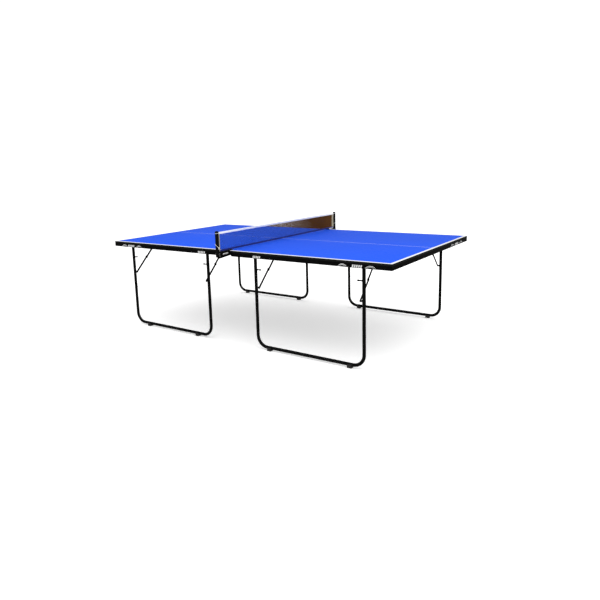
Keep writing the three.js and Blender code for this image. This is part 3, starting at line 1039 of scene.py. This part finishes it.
def add_net():
    mesh = piece("net_lattice", net_lattice(), "left_half", NET_CORD, ["net_mesh"])
    width = net_high.y - net_low.y

    layer = piece("net_brown_layer", brown_layer(), "left_half", BROWN_CORD)

    fall = tape_high.z - tape_low.z
    top = moved(folded_tape(width, fall, 0.0026, TAPE_WALL, 240), (0, 0, tape_high.z))
    tape = piece("net_top_tape_fold", top, "left_half", WHITE_TAPE, ["net_top_tape"])
    seam = moved(stitches(width - 0.01, fall - 0.0028, 0.0023), (0, 0, tape_high.z))
    thread = piece("net_top_tape_stitches", seam, "left_half", WHITE_CORD)

    low = folded_tape(width, BAND_WIDTH, 0.0016, TAPE_WALL, 200)
    moved(low, Matrix.Rotation(math.pi, 4, "Y"), (0, 0, net_low.z))
    band = piece("net_bottom_band", low, "left_half", DARK_TAPE)

    add_side_tape("near", net_low.y, 1, NEAR_SIDE_TAPE)
    add_side_tape("far", net_high.y, -1, FAR_SIDE_TAPE)


# ---------------------------------------------------------------- posts, clamps and cords
ARM_MIDDLE = 0.0163  # the clamp arm's middle plane, from the post's middle
ARM_FACE = 0.0183
CLAMP_BACK = 0.0044  # beyond the table's side
WHEEL_FOOT = 0.0110
WHEEL_THICKNESS = 0.005
LOBES = 16
THREAD_PITCH = 0.0015


def standing(node, profile, steps):
    """A turned body with its foot where the frame piece has its own."""
    centre = middle(node)
    return moved(turned(profile, steps), (centre.x, centre.y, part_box(node)[0].z))


def post(row):
    """Moulded post with a groove under its domed top."""
    node = f"{row}_net_post"
    low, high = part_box(node)
    r = (high.x - low.x) / 2
    top = high.z - low.z
    return standing(node, [
        (0, 0), (r - 0.0010, 0), (r, 0.0010), (r, top - 0.0118), (r - 0.0008, top - 0.0112),
        (r - 0.0008, top - 0.0102), (r, top - 0.0096), (r, top - 0.0070), (r * 0.96, top - 0.0045),
        (r * 0.84, top - 0.0021), (r * 0.62, top - 0.0008), (r * 0.32, top - 0.0002), (0, top),
    ], 40)


def post_bolt(node, head_side):
    """Bolt through the post and the clamp's arm; its head is on the arm."""
    low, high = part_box(node)
    end = (high.x - low.x) / 2
    across, thick = 0.010, 0.0036
    head = moved(hexagon(across, thick, 0.0007), (0, 0, end - thick))
    flange = turned([
        (0, end - 0.0042), (0.0061, end - 0.0042), (0.0061, end - thick), (0.0056, end - 0.0032),
        (0, end - 0.0032),
    ])
    shank = turned([
        (0, -end), (0.0024, -end), (0.0029, -end + 0.0006), (0.0029, end - 0.004), (0, end - 0.004),
    ], 20)
    nut = moved(hexagon(across, thick, 0.0007), Matrix.Rotation(math.pi, 4, "X"), (0, 0, 0.0040 - end))
    turn = AXIS_TO_X if head_side > 0 else Matrix.Rotation(-math.pi / 2, 4, "Y")
    return moved(together(head, flange, shank, nut), turn, middle(node))


def clamp(row):
    """Bent plates of the clamp with the weld between its arm and its back."""
    side = -1 if row == "near" else 1
    weld = moved(weld_run(0.028, 0.0013), Matrix.Rotation(math.pi / 2, 4, "X"))
    moved(weld, (side * (0.0022 - ARM_MIDDLE), side * (half_width + CLAMP_BACK), 0.740))
    return together(from_node(f"{row}_net_clamp", 0.0007), weld)


def grip_wheel(row):
    """Clamp screw: threaded rod with a lobed wheel."""
    low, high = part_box(f"{row}_clamp_screw")
    thread = [(0, 0), (0.0030, 0)]
    length = high.z - low.z
    for i in range(int(length / THREAD_PITCH) - 1):
        thread += [(0.0034, (i + 0.5) * THREAD_PITCH), (0.0040, (i + 1.0) * THREAD_PITCH)]
    rod = turned(thread + [(0.0034, length - 0.0005), (0.0028, length), (0, length)], 20)
    wheel = bmesh.new()
    radius = (high.x - low.x) / 2
    rim = bmesh.ops.create_circle(wheel, cap_ends=True, segments=LOBES * 4, radius=radius)["verts"]
    for vert in rim:
        dip = 0.5 + 0.5 * math.cos(LOBES * math.atan2(vert.co.y, vert.co.x))
        vert.co *= 1 - 0.075 * (1 - dip)
    eased(thickened(wheel, (0, 0, WHEEL_THICKNESS)), 0.0008, 2, 70)
    hub = turned([
        (0, WHEEL_FOOT), (0.0065, WHEEL_FOOT), (0.0065, 0.0168), (0.0055, 0.0176), (0, 0.0176),
    ], 24)
    centre = (low + high) / 2
    parts = together(rod, moved(wheel, (0, 0, WHEEL_FOOT)), hub)
    return moved(parts, (centre.x, centre.y, low.z))


def pressure_pad(row):
    """Rubber pad with a shallow cup in its foot."""
    node = f"{row}_clamp_pad"
    low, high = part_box(node)
    r = (high.x - low.x) / 2
    h = high.z - low.z
    return standing(node, [
        (0, 0), (r * 0.55, 0), (r * 0.60, 0.0007), (r * 0.93, 0.0007), (r, 0.0014), (r, h - 0.0008),
        (r - 0.0007, h), (0, h),
    ], 32)


def around(count):
    """The angles of a full turn, in so many steps."""
    return [2 * math.pi * i / count for i in range(count)]


def rope(points, radius, lays, closed):
    """Three strands laid round a line of points, as one mesh."""
    data = bpy.data.curves.new("strands", "CURVE")
    data.dimensions = "3D"
    data.bevel_depth = radius * 0.52
    data.bevel_resolution = 2
    data.use_fill_caps = True
    count = len(points)
    for strand in range(3):
        spline = data.splines.new("POLY")
        spline.points.add(count - 1)
        spline.use_cyclic_u = closed
        for i, point in enumerate(points):
            ahead = points[(i + 1) % count] if closed or i < count - 1 else point
            behind = points[i - 1] if closed or i > 0 else point
            along = (ahead - behind).normalized()
            side = along.cross(Vector((0.21, 0.13, 0.97))).normalized()
            angle = 2 * math.pi * (lays * i / count + strand / 3)
            offset = side * math.cos(angle) + along.cross(side) * math.sin(angle)
            spline.points[i].co = (*(point + offset * radius * 0.5), 1)
    holder = bpy.data.objects.new("strands", data)
    mesh = bpy.data.meshes.new_from_object(holder)
    bm = bmesh.new()
    bm.from_mesh(mesh)
    bpy.data.objects.remove(holder)
    bpy.data.curves.remove(data)
    bpy.data.meshes.remove(mesh)
    return bm


CORD_SLANT = 0.016  # half the drop from the cord's high side to its low side
HIGH_SIDE = YAW + math.pi
KNOT_SIDE = YAW - 0.9
KNOT_STAND = 0.0016
KNOT_SIZE = 0.00085
TAIL_FALL = 0.014


def tie_cord(row):
    """White cord slung round the post, higher on one side, with its knot and two short ends."""
    low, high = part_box(f"{row}_tie_cord")
    centre = (low + high) / 2
    radius = (high.z - low.z) / 2
    ring = (high.x - low.x) / 2 - radius
    loop = [
        Vector((ring * math.cos(a), ring * math.sin(a), CORD_SLANT * math.cos(a - HIGH_SIDE)))
        for a in around(108)
    ]
    outwards = Vector((math.cos(KNOT_SIDE), math.sin(KNOT_SIDE), 0))
    knot_place = Vector((ring * outwards.x, ring * outwards.y, -CORD_SLANT * 0.62))
    trefoil = [
        knot_place + outwards * KNOT_STAND + KNOT_SIZE * Vector((
            math.sin(t) + 2 * math.sin(2 * t), math.cos(t) - 2 * math.cos(2 * t), -math.sin(3 * t)
        )) for t in around(48)
    ]
    parts = [rope(loop, radius, 16, True), rope(trefoil, radius * 0.8, 5, True)]
    for lean in (-0.35, 0.45):
        tail = [
            knot_place + outwards * (KNOT_STAND + 0.0030 * s)
            + Vector((lean * 0.008 * s, 0, -TAIL_FALL * s * (0.4 + 0.6 * s)))
            for s in (i / 20 for i in range(21))
        ]
        parts.append(rope(tail, radius * 0.8, 3, False))
    return moved(together(*parts), centre if row == "near" else Matrix.Translation(centre) @ HALF_TURN)


LANYARD = 0.0011  # radius of the net's head cord


def net_lanyard(row):
    """The net's head cord, out of the tape's end and round the post."""
    low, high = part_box(f"{row}_net_post")
    centre = (low + high) / 2
    ring = (high.x - low.x) / 2 + LANYARD
    loop = [
        Vector((ring * math.cos(a), ring * math.sin(a), 0.0006 * math.sin(2 * a))) for a in around(72)
    ]
    return moved(rope(loop, LANYARD, 14, True), (centre.x, centre.y, tape_high.z - 0.006))


CLAMP_MARKS = [("curve", -0.018, 0.022), ("bars", 0.004, 0.026), ("curve", 0.024, 0.016)]
CLAMP_MARK_SHARE = 0.62  # of a rail mark's height


def add_net_set():
    for row in ROWS:
        side = -1 if row == "near" else 1
        turn = Matrix.Identity(4) if row == "near" else HALF_TURN
        piece(f"{row}_post_moulding", post(row), "left_half", PLASTIC,
              [f"{row}_net_post"])
        piece(f"{row}_clamp_plates", clamp(row), "left_half", CLAMP_COAT,
              [f"{row}_net_clamp"])
        label = moved(
            marks(CLAMP_MARKS), (0, 0, -MARK_FOOT), Matrix.Diagonal((1, 1, CLAMP_MARK_SHARE, 1)),
            Matrix.Rotation(math.pi / 2, 4, "Z"), (ARM_FACE, -half_width - 0.048, 0.7385), turn,
        )
        piece(f"{row}_clamp_label", label, "left_half", INK)
        for level in ("upper", "lower"):
            node = f"{row}_post_bolt_{level}"
            piece(f"{node}_set", post_bolt(node, -side), "left_half", ZINC, [node])
        piece(f"{row}_grip_wheel", grip_wheel(row), f"{row}_clamp_screw", PLASTIC,
              [f"{row}_clamp_screw"])
        piece(f"{row}_pressure_pad", pressure_pad(row), f"{row}_clamp_pad", PAD_RUBBER,
              [f"{row}_clamp_pad"])
        piece(f"{row}_tie_cord_rope", tie_cord(row), "left_half", WHITE_CORD,
              [f"{row}_tie_cord"])
        piece(f"{row}_net_lanyard", net_lanyard(row), "left_half", WHITE_CORD)


# ---------------------------------------------------------------- studio
ROOM = 1.06  # brightness of the white room
GLOW = 0.38  # light of the floor itself, as of a lit table under a product
FLAGGED = 0.16  # share of it that shines back from gloss, as with black flags round a set
FLOOR_SIZE = 40
LAMP_SIZE = 5
LAMP_POWER = 70
LAMP_PLACE = (1.8, -1.5, 5)
LAMP_TILT = 15


def pale_floor():
    ground = Paint("pale_floor")
    glossy = ground.node("ShaderNodeLightPath", {}, {}, "Is Glossy Ray")
    ground.surface(
        Base_Color=ground.blend(glossy, grey(0.96), grey(0.96 * FLAGGED)),
        Emission_Color=ground.blend(glossy, grey(1), grey(FLAGGED)),
        Emission_Strength=GLOW,
        Roughness=1.0,
        Specular_IOR_Level=0.0,
    )
    return ground.material


def white_room():
    world = bpy.data.worlds.new("studio")
    world.use_nodes = True
    nodes, links = world.node_tree.nodes, world.node_tree.links
    rays = nodes.new("ShaderNodeLightPath")
    strength = nodes.new("ShaderNodeMapRange")
    strength.inputs["To Min"].default_value = ROOM
    strength.inputs["To Max"].default_value = ROOM * FLAGGED
    links.new(rays.outputs["Is Glossy Ray"], strength.inputs["Value"])
    links.new(strength.outputs["Result"], nodes["Background"].inputs["Strength"])
    nodes["Background"].inputs["Color"].default_value = grey(1)
    return world


def add_studio():
    """A pale floor, white all round, and one large soft light overhead."""
    floor_mesh = bpy.data.meshes.new("floor")
    bm = bmesh.new()
    bmesh.ops.create_grid(bm, x_segments=1, y_segments=1, size=FLOOR_SIZE)
    bm.to_mesh(floor_mesh)
    bm.free()
    floor = bpy.data.objects.new("floor", floor_mesh)
    scene.collection.objects.link(floor)
    floor_mesh.materials.append(pale_floor())
    scene.world = white_room()

    data = bpy.data.lights.new("overhead", "AREA")
    data.shape = "DISK"
    data.size = LAMP_SIZE
    data.energy = LAMP_POWER
    light = bpy.data.objects.new("overhead", data)
    tilt = Matrix.Rotation(math.radians(LAMP_TILT), 4, "Y")
    light.matrix_world = Matrix.Translation(LAMP_PLACE) @ tilt
    scene.collection.objects.link(light)
    scene.view_settings.view_transform = "Standard"


add_halves()
add_legs()
add_stays()
add_pivot_bolts()
add_dowels()
add_net()
add_net_set()
add_studio()
